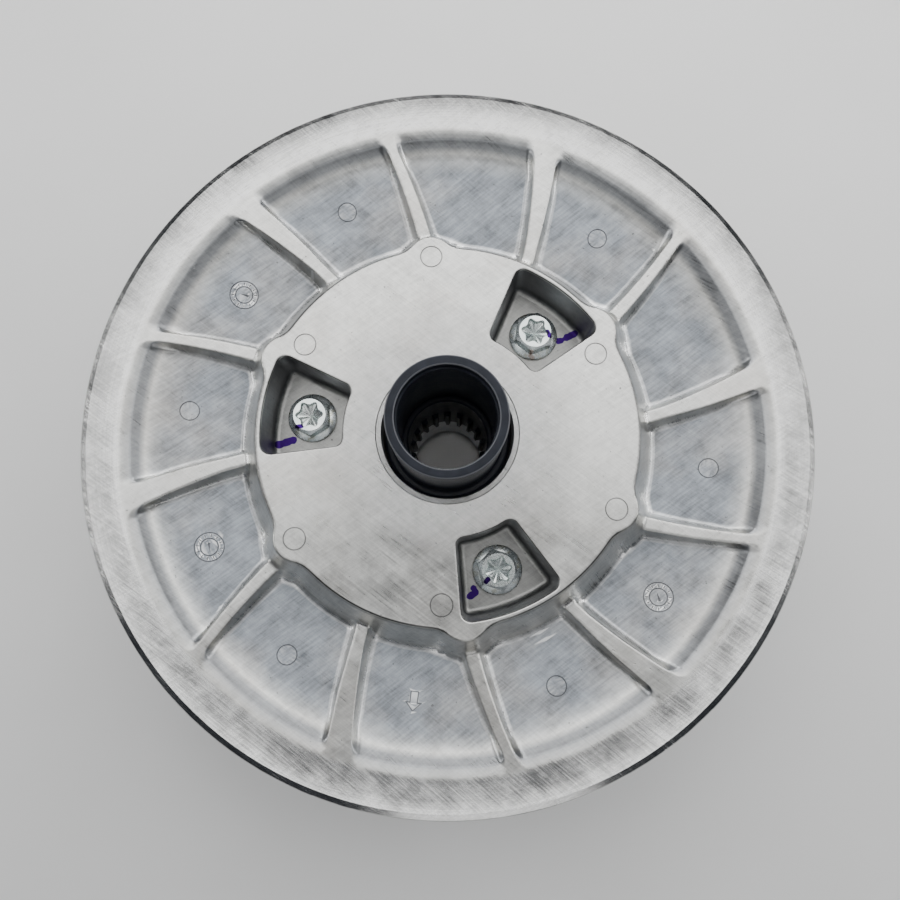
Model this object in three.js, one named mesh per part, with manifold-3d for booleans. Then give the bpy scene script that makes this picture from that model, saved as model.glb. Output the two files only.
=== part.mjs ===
// Driven pulley of a rubber-belt variable transmission: a fixed sheave bolted to a splined steel hub,
// a sliding sheave under it that is turned by a three-ramp cam as it opens, three rollers, and the spring
// that closes it. Millimetres. The shaft axis is +Z, the hub's lower end and the cam's foot stand on z = 0.
import * as THREE from "three";
import { mergeVertices } from "three/addons/utils/BufferGeometryUtils.js";
import Module from "manifold-3d";

const wasm = await Module();
wasm.setup();

// ---- driving dimensions ----
const rimRadius = 130; // both sheaves
const faceSlope = Math.tan(THREE.MathUtils.degToRad(13)); // belt face of each sheave
const travel = 20; // how far the sliding sheave opens
const helixRise = 35.9; // millimetres of sheave travel for each radian of turn
const fixedRimFaceZ = 79; // belt face of the fixed sheave at the rim
const slidingRimFaceZ = 43; // belt face of the sliding sheave at the rim, closed
const segments = 60; // facets round a sheave
const hubFacets = 36; // round the hub and the rings on it
const smallFacets = 16; // round pins, rollers and bolt heads
const screwFacets = 12; // round the bracket screws
const gap = 0.3; // between curved faces that touch

// fixed sheave, outer side
const fixedRimTopZ = 87;
const ringInnerRadius = 115.4;
const ringInnerZ = 84.4;
const cellOuterRadius = 107;
const cellInnerRadius = 72;
const floorThickness = 4.7;
const plateRadius = 66.8;
const plateZ = 93;
const plateStepZ = 77; // where the plate's wall turns into the cell's corner radius
const ribCount = 12;
const ribAngleAtRing = 100.7; // degrees, where the first rib meets the ring
const ribSwirl = 0.128; // degrees that a rib turns for each millimetre towards the hub
const ribTopSlope = 0.12;
const ribInnerRadius = 64;
const narrowRibHalfWidth = 2.1;
const wideRibHalfWidth = 2.2; // next to the plate
const ribWidening = 0.045; // half-width that a wide rib gains for each millimetre outward
const ribFlareRadius = 109; // from here out every rib flares into the ring
const ribFlare = 2.6;
const bumpAngle = 94.7;
const bumpRadius = 71;
const pocketAngle = 50;
const pocketHalfAngle = 16.4;
const pocketInnerRadius = 36.6;
const pocketOuterRadius = 64.9;
const pocketCorner = 3;
const boltSeatZ = 74.2;
const boltCircleRadius = 50.7;
const boltHoleRadius = 4.4;
const boltFlangeRadius = 8.95;
const boltAcrossFlats = 13;
const boltHeadHeight = 7.8;
const sheaveBore = 22.8;
const boreChamferRadius = 25; // where the plate's bore chamfer starts
const boreChamferDepth = 2;

// hub
const hubTopZ = 124.2;
const sleeveRadius = 19.5;
const shaftRadius = 21;
const collarRadius = 22.4;
const collarTopZ = 84;
const flangeRadius = 60;
const flangeTopZ = 69;
const flangeBottomZ = 63;
const counterboreRadius = 15.9;
const counterboreBottomZ = 74;
const reliefRadius = 16.9;
const reliefTopZ = 86;
const boreRadius = 14.5;
const splineTipRadius = 12.9;
const splineTeeth = 18;
const splineTopZ = 53;
const splineBottomZ = 31;
const linerBore = 15;
const linerRadius = 17.2;
const keyHalfWidth = 2.4;

// cam, spring and rollers
const camRadius = 48;
const camFootRadius = 27; // the foot is recessed inside this
const camFootRecess = 3;
const camTopZ = 6;
const camBossRadius = 29;
const camBossTopZ = 12;
const rampInnerRadius = 38.6;
const rampOuterRadius = 47;
const landDegrees = 18;
const rampFacets = 9;
const snapRingZ = 1; // lower side of its groove
const snapGrooveDepth = 1.2;
const snapGrooveWidth = 1.6;
const springRadius = 34;
const springWire = 4;
const springTurns = 4.25;
const springSeatTopZ = 7.6;
const springWasherThickness = 1.7;
const webBottomZ = 52; // underside of the sliding sheave's web, closed
const rampTopZ = webBottomZ - travel - 0.8; // clear of the web when the sheave is fully open
const rollerRadius = 8;
const rollerMidRadius = 43.5;
const rollerHalfWidth = 4;
const rollerClearance = 0.5;
const rollerChamfer = 0.6;
const pinRadius = 3;
const pinFit = 0.15; // clearance round the pin, the bush and the bushings
const bushRadius = 4.4;
const bracketInner = 49.6;
const bracketOuter = 56.4;
const bracketEarThickness = 3;
const screwSpread = 13;
const screwShankRadius = 1.9;

const rad = THREE.MathUtils.degToRad;
const colours = {
  castAluminium: new THREE.MeshStandardMaterial({ color: 0xb9bcbd, metalness: 1, roughness: 0.42 }),
  turnedAluminium: new THREE.MeshStandardMaterial({ color: 0xc4c4c2, metalness: 1, roughness: 0.3 }),
  blackSteel: new THREE.MeshStandardMaterial({ color: 0x24262d, metalness: 0.8, roughness: 0.45 }),
  zincSteel: new THREE.MeshStandardMaterial({ color: 0xc9ced0, metalness: 1, roughness: 0.25 }),
  camSteel: new THREE.MeshStandardMaterial({ color: 0x75787c, metalness: 1, roughness: 0.4 }),
  springSteel: new THREE.MeshStandardMaterial({ color: 0x3c4048, metalness: 0.9, roughness: 0.35 }),
  bronze: new THREE.MeshStandardMaterial({ color: 0xa9834b, metalness: 1, roughness: 0.4 }),
  polymer: new THREE.MeshStandardMaterial({ color: 0x2f3133, metalness: 0, roughness: 0.6 }),
};

// ---- solids ----
// A closed geometry as a manifold-3d solid.
function solidOf(geometry) {
  const bare = geometry.clone();
  bare.deleteAttribute("normal");
  bare.deleteAttribute("uv");
  const merged = mergeVertices(bare, 1e-3);
  return new wasm.Manifold(
    new wasm.Mesh({
      numProp: 3,
      vertProperties: merged.attributes.position.array,
      triVerts: new Uint32Array(merged.index.array),
    }),
  );
}

function geometryOf(solid) {
  const mesh = solid.getMesh();
  const geometry = new THREE.BufferGeometry();
  geometry.setAttribute("position", new THREE.BufferAttribute(mesh.vertProperties, 3));
  geometry.setIndex(new THREE.BufferAttribute(mesh.triVerts, 1));
  geometry.computeVertexNormals();
  return geometry;
}

// A solid turned about Z from a profile of [radius, z] points.
// A profile that leaves the axis free is closed on itself.
function turned(profile, facets = segments) {
  const points = profile.map(([r, z]) => new THREE.Vector2(r, z));
  if (THREE.ShapeUtils.area(points) < 0) points.reverse();
  if (Math.min(...profile.map(([r]) => r)) > 0) points.push(points[0].clone());
  return solidOf(new THREE.LatheGeometry(points, facets).rotateX(Math.PI / 2));
}

// A plain ring, or a disc when its inner radius is 0.
function ring(inner, outer, bottom, top, facets = segments) {
  return turned([[inner, bottom], [outer, bottom], [outer, top], [inner, top]], facets);
}

// An upright prism between two heights, from an outline of [x, y] points.
function prism(outline, bottom, top) {
  const points = outline.map(([x, y]) => new THREE.Vector2(x, y));
  if (THREE.ShapeUtils.area(points) < 0) points.reverse();
  const options = { depth: top - bottom, bevelEnabled: false };
  return solidOf(new THREE.ExtrudeGeometry(new THREE.Shape(points), options).translate(0, 0, bottom));
}

const polar = (radius, degrees) => [radius * Math.cos(rad(degrees)), radius * Math.sin(rad(degrees))];
const turn = (solid, degrees) => solid.rotate([0, 0, degrees]);
const round = (count, make) => Array.from({ length: count }, (_, i) => make(i, (i * 360) / count));

function joined(solids) {
  return solids.reduce((whole, piece) => whole.add(piece));
}

// ---- fixed sheave ----
const fixedFaceZ = (radius) => fixedRimFaceZ - faceSlope * (rimRadius - radius);
const cellFloorZ = (radius) => fixedFaceZ(radius) + floorThickness;
const ribTopZ = (radius) => ringInnerZ - ribTopSlope * (ringInnerRadius - radius);

// Ribs alternate: a narrow one that ends in a bump of the plate, then one that widens towards the ring.
function ribHalfWidth(radius, narrow) {
  const flare = ribFlare * Math.max(0, (radius - ribFlareRadius) / (ringInnerRadius - ribFlareRadius)) ** 2;
  const blade = narrow ? narrowRibHalfWidth : wideRibHalfWidth + ribWidening * (radius - cellInnerRadius);
  return blade + flare;
}

function ribOutline(narrow) {
  const radii = [ribInnerRadius, 72, 80, 88, 96, 104, ribFlareRadius, 112.5, ringInnerRadius + 1];
  const side = (sign) =>
    radii.map((radius) => {
      const centre = ribAngleAtRing - ribSwirl * (ringInnerRadius - radius);
      const halfAngle = THREE.MathUtils.radToDeg(ribHalfWidth(radius, narrow) / radius);
      return polar(radius, centre + sign * halfAngle);
    });
  return [...side(1), ...side(-1).reverse()];
}

// The ribs are cut off along their sloping tops and end inside the floor.
function ribs() {
  const outer = ringInnerRadius + 0.6;
  const root = 2; // how far a rib's foot stays above the belt face
  const envelope = turned([
    [ribInnerRadius, fixedFaceZ(ribInnerRadius) + root],
    [outer, fixedFaceZ(outer) + root],
    [outer, ribTopZ(outer)],
    [ribInnerRadius, ribTopZ(ribInnerRadius)],
  ]);
  const blades = round(ribCount, (i, angle) =>
    turn(prism(ribOutline(i % 2 === 0), flangeBottomZ - 3, plateZ - 1), -angle),
  );
  return joined(blades).intersect(envelope);
}

// Six rounded points of the plate's outline, one over every second rib.
function plateBumps() {
  const half = [[62, 9.5], [plateRadius - 1, 8.5], [bumpRadius - 1.6, 4]];
  const outline = [...half, [bumpRadius, 0], ...half.map(([x, y]) => [x, -y]).reverse()];
  const bump = prism(outline, cellFloorZ(bumpRadius) - 2, plateZ);
  return round(6, (i, angle) => turn(bump, bumpAngle + angle));
}

function sectorOutline(inner, outer, halfAngle, corner, steps = 6) {
  const arc = (radius, from, to) =>
    Array.from({ length: steps + 1 }, (_, i) => polar(radius, from + ((to - from) * i) / steps));
  const innerTrim = THREE.MathUtils.radToDeg(corner / inner);
  const outerTrim = THREE.MathUtils.radToDeg(corner / outer);
  return [
    ...arc(outer, -halfAngle + outerTrim, halfAngle - outerTrim),
    polar(outer - corner, halfAngle),
    polar(inner + corner, halfAngle),
    ...arc(inner, halfAngle - innerTrim, -halfAngle + innerTrim),
    polar(inner + corner, -halfAngle),
    polar(outer - corner, -halfAngle),
  ];
}

function fixedSheave() {
  const body = turned([
    [sheaveBore, flangeTopZ],
    [flangeRadius + gap, flangeTopZ],
    [flangeRadius + gap, fixedFaceZ(flangeRadius + gap)],
    [rimRadius, fixedRimFaceZ],
    [rimRadius, fixedRimTopZ],
    [ringInnerRadius, ringInnerZ],
    [cellOuterRadius, cellFloorZ(cellOuterRadius)],
    [cellInnerRadius + 4, cellFloorZ(cellInnerRadius + 4)],
    [cellInnerRadius, cellFloorZ(cellInnerRadius) + 1.8],
    [cellInnerRadius - 2, plateStepZ],
    [plateRadius + 0.6, plateZ - 1.5],
    [plateRadius - 0.8, plateZ],
    [boreChamferRadius, plateZ],
    [sheaveBore, plateZ - boreChamferDepth],
  ]);
  const pocketOutline = sectorOutline(pocketInnerRadius, pocketOuterRadius, pocketHalfAngle, pocketCorner);
  const pocket = prism(pocketOutline, boltSeatZ, plateZ + 2);
  const hole = ring(0, boltHoleRadius, flangeBottomZ - 3, 80, smallFacets);
  const cut = pocket.add(hole.translate([boltCircleRadius, 0, 0]));
  const cuts = round(3, (i, angle) => turn(cut, pocketAngle + angle));
  return body.add(ribs()).add(joined(plateBumps())).subtract(joined(cuts));
}

// Flanged hexagon bolt with a six-lobed recess, head up, its seat at z = 0.
function flangeBolt() {
  const cornerRadius = boltAcrossFlats / 2 / Math.cos(Math.PI / 6);
  const top = boltHeadHeight;
  const flange = turned([
    [0, 0], [boltFlangeRadius, 0], [boltFlangeRadius, 0.9], [cornerRadius - 0.3, 2.4], [0, 2.4],
  ], smallFacets);
  const hexagon = prism(round(6, (i, angle) => polar(cornerRadius, angle)), 1.5, top - 0.8);
  const crown = turned([[0, top - 1.8], [6.9, top - 1.8], [5.9, top], [0, top]], smallFacets);
  const recess = prism(round(12, (i, angle) => polar(i % 2 ? 3.2 : 4.45, angle)), top - 3.6, top + 1);
  const shank = ring(0, boltHoleRadius - 0.6, flangeBottomZ + 0.6 - boltSeatZ, 1, smallFacets);
  return joined([flange, hexagon, crown, shank]).subtract(recess);
}

// ---- hub ----
function splineOutline() {
  const pitch = 360 / splineTeeth;
  const halfSpace = pitch * 0.27; // at the bottom of a space
  const halfTip = pitch * 0.14;
  return round(splineTeeth, (i, angle) => [
    polar(boreRadius, angle - halfSpace),
    polar(boreRadius, angle + halfSpace),
    polar(splineTipRadius, angle + pitch / 2 - halfTip),
    polar(splineTipRadius, angle + pitch / 2 + halfTip),
  ]).flat();
}

function hub() {
  const groove = shaftRadius - snapGrooveDepth;
  const grooveTopZ = snapRingZ + snapGrooveWidth;
  const body = turned([
    [0, 0], [shaftRadius - 0.8, 0], [shaftRadius, 0.8], [shaftRadius, snapRingZ],
    [groove, snapRingZ], [groove, grooveTopZ], [shaftRadius, grooveTopZ],
    [shaftRadius, flangeBottomZ], [flangeRadius, flangeBottomZ], [flangeRadius, flangeTopZ],
    [collarRadius, flangeTopZ], [collarRadius, collarTopZ - 1], [collarRadius - 1, collarTopZ],
    [sleeveRadius, collarTopZ], [sleeveRadius, hubTopZ - 1], [sleeveRadius - 1, hubTopZ], [0, hubTopZ],
  ], hubFacets);
  const bores = [
    turned([
      [0, counterboreBottomZ], [reliefRadius, counterboreBottomZ], [reliefRadius, reliefTopZ],
      [counterboreRadius, reliefTopZ + 1], [counterboreRadius, hubTopZ - 1],
      [counterboreRadius + 1.2, hubTopZ + 0.2], [0, hubTopZ + 0.2],
    ], hubFacets),
    ring(0, boreRadius, splineTopZ, counterboreBottomZ + 1, hubFacets),
    prism(splineOutline(), splineBottomZ - 1, splineTopZ + 1),
    ring(0, linerRadius + 0.2, -1, splineBottomZ, hubFacets),
  ];
  const boltHole = ring(0, boltHoleRadius - 0.2, flangeBottomZ - 1, flangeTopZ + 1, smallFacets);
  const boltHoles = round(3, (i, angle) =>
    turn(boltHole.translate([boltCircleRadius, 0, 0]), pocketAngle + angle),
  );
  const keyway = box(shaftRadius - 1.9, 30, -keyHalfWidth - 0.2, keyHalfWidth + 0.2, 3.4, camBossTopZ + 1);
  return body.subtract(joined([...bores, ...boltHoles, keyway]));
}

function box(x0, x1, y0, y1, z0, z1) {
  return prism([[x0, y0], [x1, y0], [x1, y1], [x0, y1]], z0, z1);
}

const camKey = () =>
  box(shaftRadius - 1.6, shaftRadius + 2.2, -keyHalfWidth, keyHalfWidth, 3.8, camBossTopZ - 0.6);

function linerSleeve() {
  const chamfer = 0.8;
  const bottom = 0.4;
  const top = splineBottomZ - gap;
  return turned([
    [linerBore + chamfer, bottom], [linerRadius, bottom], [linerRadius, top], [linerBore + chamfer, top],
    [linerBore, top - chamfer], [linerBore, bottom + chamfer],
  ], hubFacets);
}

// ---- cam ----
// One ramp: a flat land, then a helical face that falls as it goes round anticlockwise.
function camRamp() {
  const slopeDegrees = THREE.MathUtils.radToDeg((rampTopZ - camTopZ - 1) / helixRise);
  const slope = Array.from({ length: rampFacets + 1 }, (_, i) => (i * slopeDegrees) / rampFacets);
  const angles = [-landDegrees, -landDegrees / 2, ...slope];
  const bottom = camTopZ - 1;
  const heights = angles.map((angle) => rampTopZ - helixRise * rad(Math.max(0, angle)));
  const vertices = angles.flatMap((angle, i) => [
    ...polar(rampInnerRadius, angle), bottom, ...polar(rampOuterRadius, angle), bottom,
    ...polar(rampOuterRadius, angle), heights[i], ...polar(rampInnerRadius, angle), heights[i],
  ]);
  const faces = [0, 1, 2, 0, 2, 3];
  const last = (angles.length - 1) * 4;
  faces.push(last, last + 2, last + 1, last, last + 3, last + 2);
  for (let i = 0; i < last; i += 4) {
    for (let side = 0; side < 4; side += 1) {
      const next = (side + 1) % 4;
      faces.push(i + side, i + 4 + side, i + 4 + next, i + side, i + 4 + next, i + next);
    }
  }
  const geometry = new THREE.BufferGeometry();
  geometry.setAttribute("position", new THREE.BufferAttribute(new Float32Array(vertices), 3));
  geometry.setIndex(faces);
  return solidOf(geometry);
}

function helixCam() {
  const bore = shaftRadius + gap;
  const disc = turned([
    [camFootRadius, 0], [camRadius, 0], [camRadius, camTopZ], [camBossRadius, camTopZ],
    [camBossRadius, camBossTopZ], [bore, camBossTopZ], [bore, camFootRecess], [camFootRadius, camFootRecess],
  ], hubFacets);
  const keyway = box(15, shaftRadius + 2.5, -keyHalfWidth - 0.2, keyHalfWidth + 0.2, 2, camBossTopZ + 1);
  const ramps = round(3, (i, angle) => turn(camRamp(), rampStartAngle + angle));
  return disc.add(joined(ramps)).subtract(keyway);
}

function snapRing() {
  const opening = box(0, camRadius, -4, 4, 0, camTopZ);
  const bottom = snapRingZ + 0.2;
  const top = snapRingZ + snapGrooveWidth - 0.2;
  return turn(ring(shaftRadius - 1, shaftRadius + 3, bottom, top, hubFacets).subtract(opening), 180);
}

// ---- rollers: each turns on a radial pin that a bracket hangs under the sliding sheave ----
const helixAngle = Math.atan(helixRise / rollerMidRadius);
const contactZ = rampTopZ - 3.2; // where a roller touches its ramp, closed
const contactDegrees = THREE.MathUtils.radToDeg((rampTopZ - contactZ) / helixRise);
const rollerOffset = rollerRadius + rollerClearance;
const rollerZ = contactZ + rollerOffset * Math.cos(helixAngle);
const rollerLead = THREE.MathUtils.radToDeg((rollerOffset * Math.sin(helixAngle)) / rollerMidRadius);
const rollerAngle = 90; // degrees, of the first roller
const rampStartAngle = rollerAngle - rollerLead - contactDegrees;
const bracketMiddle = (bracketInner + bracketOuter) / 2;

// Pieces on a pin are turned about Z, then laid so that Z points outward along X at the pin's height.
function radial(solid) {
  return solid.rotate([0, 90, 0]).translate([0, 0, rollerZ]);
}

function roller() {
  const inner = rollerMidRadius - rollerHalfWidth;
  const outer = rollerMidRadius + rollerHalfWidth;
  const bore = bushRadius + pinFit;
  const chamfer = rollerChamfer;
  return radial(turned([
    [bore, inner], [rollerRadius - chamfer, inner], [rollerRadius, inner + chamfer],
    [rollerRadius, outer - chamfer], [rollerRadius - chamfer, outer], [bore, outer],
  ], smallFacets));
}

// The bush is a little longer than the roller, so that it spaces the roller off its bracket.
function rollerBush() {
  const inner = rollerMidRadius - rollerHalfWidth;
  return radial(ring(pinRadius + pinFit, bushRadius, inner, inner + 2 * rollerHalfWidth + 0.6, smallFacets));
}

function rollerPin() {
  const head = rollerMidRadius - rollerHalfWidth - gap;
  const headRadius = pinRadius + 1.6;
  const neck = pinRadius - 0.7;
  const grooveStart = bracketOuter + 0.3;
  return radial(turned([
    [0, head - 1.2], [headRadius, head - 1.2], [headRadius, head], [pinRadius, head],
    [pinRadius, grooveStart], [neck, grooveStart], [neck, grooveStart + 1], [pinRadius, grooveStart + 1],
    [pinRadius, grooveStart + 1.9], [0, grooveStart + 1.9],
  ], smallFacets));
}

function rollerClip() {
  const start = bracketOuter + 0.4;
  const slot = box(0, pinRadius + 3, -1.6, 1.6, start - 1, start + 2);
  return radial(ring(pinRadius - 0.4, pinRadius + 2, start, start + 0.8, smallFacets).subtract(slot));
}

function rollerBracket() {
  const web = webBottomZ - gap;
  const earEnd = screwSpread + 4.4;
  const tower = box(bracketInner, bracketOuter, -rollerRadius, rollerRadius, rollerZ - 7, web);
  const ears = box(bracketInner, bracketOuter, -earEnd, earEnd, web - bracketEarThickness, web);
  const pinHole = radial(ring(0, pinRadius + pinFit, bracketInner - 1, bracketOuter + 1, smallFacets));
  const screwHole = ring(0, screwShankRadius + 0.4, web - bracketEarThickness - 1, web + 1, screwFacets);
  const screwHoles = [-screwSpread, screwSpread].map((y) => screwHole.translate([bracketMiddle, y, 0]));
  return tower.add(ears).subtract(joined([pinHole, ...screwHoles]));
}

function bracketScrew(side) {
  const seat = webBottomZ - gap - bracketEarThickness;
  const top = seat - 3.4;
  const head = turned([[0, top], [3, top], [3.5, top + 0.8], [3.5, seat], [0, seat]], screwFacets);
  const socket = prism(round(6, (i, angle) => polar(1.7, angle)), top - 1, top + 1.8);
  const shank = ring(0, screwShankRadius, seat - 1, webBottomZ + 5.4, screwFacets);
  return head.add(shank).subtract(socket).translate([bracketMiddle, side * screwSpread, 0]);
}

// ---- sliding sheave ----
const slidingFaceZ = (radius) => slidingRimFaceZ + faceSlope * (rimRadius - radius);
const bossBore = shaftRadius + 3.9;
const bossRadius = 30.6;
const bossBottomZ = 33.5;
const slidingTopZ = 59.6;
const slidingRimBackZ = 38;
const webRadius = 59; // the flat web that carries the brackets
const backRibOuterRadius = 124;
const backRibHalfWidth = 2;

function slidingSheave() {
  const flatRadius = rimRadius - (slidingTopZ - slidingRimFaceZ) / faceSlope;
  const body = turned([
    [bossBore, bossBottomZ], [bossRadius, bossBottomZ], [bossRadius, webBottomZ], [webRadius, webBottomZ],
    [rimRadius - 5, slidingRimBackZ], [rimRadius, slidingRimBackZ], [rimRadius, slidingRimFaceZ],
    [flatRadius, slidingTopZ], [bossBore, slidingTopZ],
  ]);
  const backRib = box(webRadius + 1, backRibOuterRadius - 0.5, -backRibHalfWidth, backRibHalfWidth, 35.5, 54);
  const envelope = turned([
    [webRadius, 36.5], [backRibOuterRadius - 5, 35.5], [backRibOuterRadius, 36.8],
    [backRibOuterRadius, slidingFaceZ(backRibOuterRadius) - 2], [webRadius, slidingFaceZ(webRadius) - 2],
  ]);
  const backRibs = joined(round(ribCount, (i, angle) => turn(backRib, angle + 15))).intersect(envelope);
  const screwHole = ring(0, screwShankRadius + 0.3, webBottomZ - 1, webBottomZ + 6, screwFacets);
  const screwHoles = round(3, (i, angle) =>
    turn(
      screwHole.translate([bracketMiddle, screwSpread, 0])
        .add(screwHole.translate([bracketMiddle, -screwSpread, 0])),
      rollerAngle + angle,
    ),
  );
  return body.add(backRibs).subtract(joined(screwHoles));
}

const bushing = (bottom, top) => ring(shaftRadius + pinFit, bossBore - 0.2, bottom, top, hubFacets);

// ---- spring ----
class Coil extends THREE.Curve {
  getPoint(t, target = new THREE.Vector3()) {
    const bottom = springSeatTopZ + gap + springWire / 2;
    const top = webBottomZ - springWasherThickness - 0.7 - springWire / 2;
    const angle = t * springTurns * 2 * Math.PI;
    const ease = THREE.MathUtils.smoothstep(t, 0, 1) * 0.35 + t * 0.65;
    const height = THREE.MathUtils.lerp(bottom, top, ease);
    return target.set(springRadius * Math.cos(angle), springRadius * Math.sin(angle), height);
  }
}

function spring() {
  const section = new THREE.Shape(
    round(6, (i, angle) => new THREE.Vector2(...polar(springWire / 2, angle))),
  );
  const options = { steps: 64, extrudePath: new Coil(), bevelEnabled: false };
  return solidOf(new THREE.ExtrudeGeometry(section, options));
}

const lowerSpringSeat = () =>
  ring(camBossRadius + 0.6, springRadius + 3.6, camTopZ, springSeatTopZ, hubFacets);

function thrustWasher() {
  const top = webBottomZ - gap;
  return ring(springRadius - 2.6, springRadius + 3.2, top - springWasherThickness, top, hubFacets);
}

// ---- the assembly ----
const pulley = new THREE.Group();

function place(name, solid, material, group = pulley) {
  const mesh = new THREE.Mesh(geometryOf(solid), material);
  mesh.name = name;
  group.add(mesh);
  return mesh;
}

place("hub", hub(), colours.blackSteel);
place("pilot_sleeve", linerSleeve(), colours.turnedAluminium);
place("fixed_sheave", fixedSheave(), colours.castAluminium);
place("helix_cam", helixCam(), colours.camSteel);
place("cam_key", camKey(), colours.zincSteel);
place("cam_snap_ring", snapRing(), colours.springSteel);
place("lower_spring_seat", lowerSpringSeat(), colours.zincSteel);
place("closing_spring", spring(), colours.springSteel);
place("spring_thrust_washer", thrustWasher(), colours.bronze);
place("sliding_sheave", slidingSheave(), colours.turnedAluminium);
place("upper_bushing", bushing(47, 59), colours.bronze);
place("lower_bushing", bushing(34, 44), colours.bronze);

for (let i = 0; i < 3; i += 1) {
  const station = new THREE.Group();
  station.rotation.z = rad(rollerAngle + i * 120);
  pulley.add(station);
  place("roller_" + (i + 1), roller(), colours.polymer, station);
  place("roller_bush_" + (i + 1), rollerBush(), colours.bronze, station);
  place("roller_pin_" + (i + 1), rollerPin(), colours.zincSteel, station);
  place("roller_clip_" + (i + 1), rollerClip(), colours.springSteel, station);
  place("roller_bracket_" + (i + 1), rollerBracket(), colours.camSteel, station);
  place("bracket_screw_" + (2 * i + 1), bracketScrew(-1), colours.blackSteel, station);
  place("bracket_screw_" + (2 * i + 2), bracketScrew(1), colours.blackSteel, station);

  const bolt = place("sheave_bolt_" + (i + 1), flangeBolt(), colours.zincSteel);
  const [x, y] = polar(boltCircleRadius, pocketAngle + i * 120);
  bolt.position.set(x, y, boltSeatZ);
  bolt.rotation.z = rad(pocketAngle + i * 120);
}

export default pulley;
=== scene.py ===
# Looks of the driven pulley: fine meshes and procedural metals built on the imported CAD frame.
# Shapes are worked out in millimetres in the part's own frame and stored in metres.
import math

import bpy
import numpy as np
from mathutils import Matrix, Vector


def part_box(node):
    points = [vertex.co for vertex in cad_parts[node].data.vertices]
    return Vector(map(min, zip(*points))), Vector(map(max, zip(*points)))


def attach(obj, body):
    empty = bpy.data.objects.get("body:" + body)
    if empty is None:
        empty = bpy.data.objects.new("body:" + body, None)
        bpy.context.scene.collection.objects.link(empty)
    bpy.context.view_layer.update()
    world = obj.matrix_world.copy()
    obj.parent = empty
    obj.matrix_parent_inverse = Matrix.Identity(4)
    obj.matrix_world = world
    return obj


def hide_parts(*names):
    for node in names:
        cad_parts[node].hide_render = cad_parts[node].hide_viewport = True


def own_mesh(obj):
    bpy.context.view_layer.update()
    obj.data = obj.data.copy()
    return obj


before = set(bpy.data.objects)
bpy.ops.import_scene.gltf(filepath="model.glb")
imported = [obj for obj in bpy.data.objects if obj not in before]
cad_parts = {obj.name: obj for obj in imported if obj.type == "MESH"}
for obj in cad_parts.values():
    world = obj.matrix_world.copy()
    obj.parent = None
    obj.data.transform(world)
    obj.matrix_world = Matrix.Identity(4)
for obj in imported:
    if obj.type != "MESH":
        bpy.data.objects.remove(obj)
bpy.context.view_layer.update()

MM = 0.001


def box_mm(node):
    low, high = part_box(node)
    return np.array(low) / MM, np.array(high) / MM


# ---- sizes read from the frame ----
RIM_RADIUS, _, PLATE_Z = box_mm("fixed_sheave")[1]
HUB_TOP_Z = box_mm("hub")[1][2]
sliding_low, sliding_high = box_mm("sliding_sheave")
SLIDING_BACK_Z = 38.0  # lower edge of the sliding sheave's rim
CAM_RADIUS = box_mm("helix_cam")[1][0]

# ---- sizes of the fixed sheave's outer side ----
FACE_DEGREES = 13
FACE_SLOPE = math.tan(math.radians(FACE_DEGREES))
RIM_TOP_Z = PLATE_Z - 6
RIM_FACE_Z = RIM_TOP_Z - 8
RING_INNER = 116.0
RING_SLOPE = 0.178
FLOOR_THICKNESS = 4.7
FACET_RADIUS, FACET_SLOPE = 105.6, 0.45  # lower part of a cell's outer wall
STEEP_RADIUS, STEEP_SLOPE = 110.6, 0.98  # upper part of it
RIB_DRAFT = math.radians(13)
PLATE_DRAFT = math.radians(22.5)
PLATE_RADIUS = 66.8
RIB_ANGLE = 10.7
RIB_SWIRL = 0.128
RIB_TOP_SLOPE = 0.12
BUMP_ANGLE = 34.7
BUMP_CENTRE = 65.9
BUMP_ROUND = 5.0
BUMP_FILLET, WALL_FILLET, RIB_FILLET, PLATE_FILLET = 6.5, 3.0, 1.5, 1.6
POCKET_ANGLE = 50.0
POCKET_HALF_ANGLE = 16.4
POCKET_INNER = 36.6
POCKET_OUTER = 64.9
BOLT_SEAT_Z = 74.2
BOLT_CIRCLE = 50.7
SHEAVE_BORE = 22.8

collection = bpy.context.scene.collection


# ---- camera ----
def make_camera():
    """The camera looks down on the ribbed side, tilted 7.8 degrees off the shaft and rolled a little."""
    tilt, roll = math.radians(7.77), math.radians(0.72)
    turned_to = Matrix.Rotation(tilt, 3, "X") @ Matrix.Rotation(-roll, 3, "Z")
    eye = turned_to @ Vector((0.89, -5.41, 277.87)) + Vector((0, 0, RIM_TOP_Z))
    data = bpy.data.cameras.new("camera")
    data.sensor_width = 36
    data.lens = 31.408
    data.clip_start = 0.01
    data.clip_end = 50
    camera = bpy.data.objects.new("camera", data)
    camera.matrix_world = Matrix.Translation(eye * MM) @ turned_to.to_4x4()
    collection.objects.link(camera)
    bpy.context.scene.camera = camera


make_camera()


# ---- mesh helpers ----
def new_object(name, vertices, faces, smooth_angle=35):
    """An object from points in millimetres."""
    mesh = bpy.data.meshes.new(name)
    mesh.from_pydata((np.asarray(vertices, float) * MM).tolist(), [], faces)
    mesh.validate()
    mesh.shade_smooth()
    mesh.set_sharp_from_angle(angle=math.radians(smooth_angle))
    piece = bpy.data.objects.new(name, mesh)
    collection.objects.link(piece)
    return piece


def grid_faces(rows, columns, close_rows=True):
    """Quads of a grid whose columns go round and whose rows close on themselves or stop."""
    last = rows if close_rows else rows - 1
    i, j = np.meshgrid(np.arange(last), np.arange(columns), indexing="ij")
    row, next_row = i * columns, (i + 1) % rows * columns
    next_j = (j + 1) % columns
    corners = [row + j, row + next_j, next_row + next_j, next_row + j]
    return np.stack(corners, axis=-1).reshape(-1, 4)


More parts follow.
